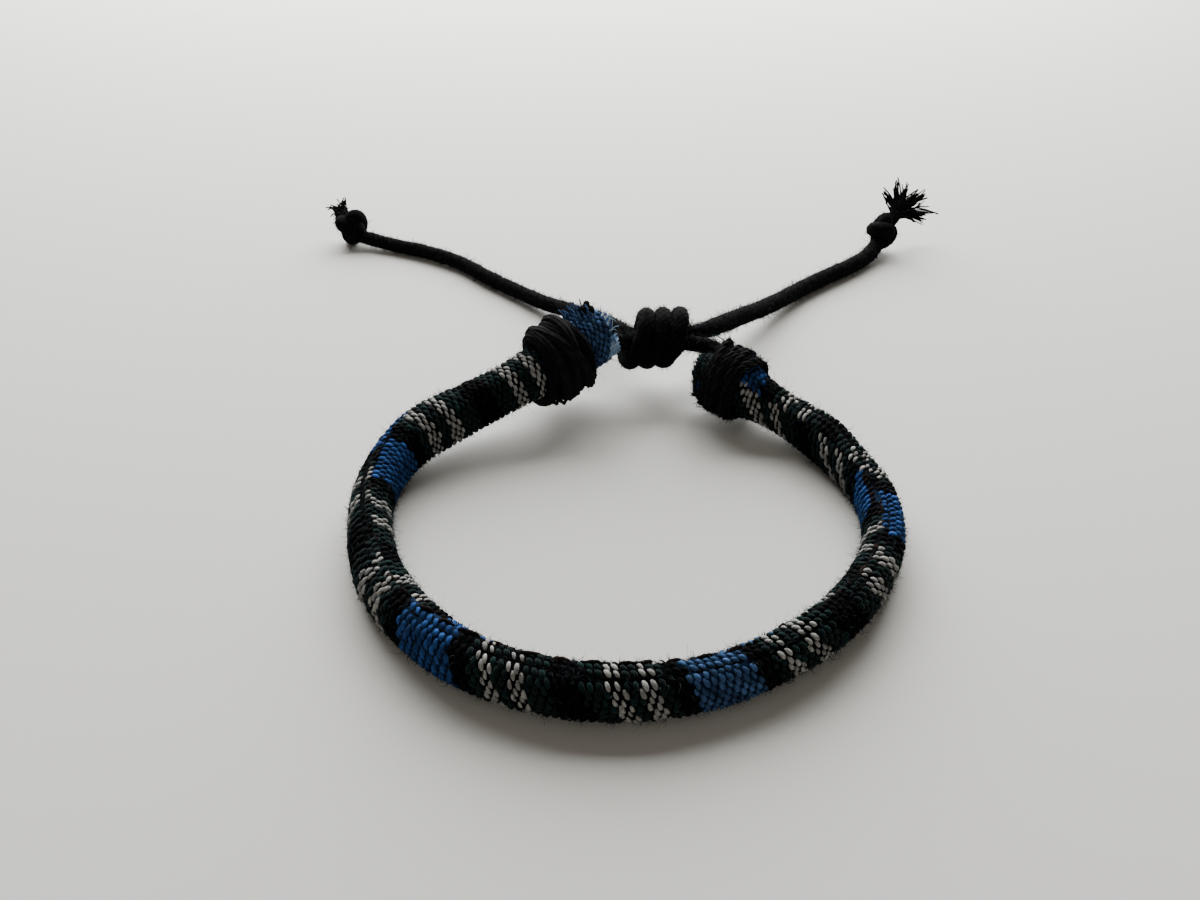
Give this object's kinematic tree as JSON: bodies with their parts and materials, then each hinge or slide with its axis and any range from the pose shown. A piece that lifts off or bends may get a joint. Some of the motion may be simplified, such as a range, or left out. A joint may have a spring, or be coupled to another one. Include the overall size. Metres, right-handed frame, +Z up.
{
  "type": "woven fabric bracelet",
  "caption": "Round bracelet of rolled woven striped fabric, yarn-bound ends, closed by black cords through a sliding knot with knotted, frayed tails.",
  "frame": {"origin": "on the surface that the bracelet lies on, under the middle of the ring and its knot", "axes": "+Z up, square to the ring as it lies; +X across the ring to the right; +Y from the front of the ring to its closure"},
  "size_m": [0.1145, 0.1146, 0.0146],
  "materials": {
    "woven_cotton": "matte woven cotton",
    "black_yarn": "matte plied yarn",
    "black_cord": "matte braided cord"
  },
  "bodies": {
    "root": {"fabric_band": "woven_cotton", "left_binding": "black_yarn", "right_binding": "black_yarn", "sliding_knot": "black_cord", "left_tie_cord": "black_cord", "right_tie_cord": "black_cord", "left_stopper_knot": "black_cord", "right_stopper_knot": "black_cord", "left_frayed_end": "black_cord", "right_frayed_end": "black_cord"}
  },
  "joints": []
}
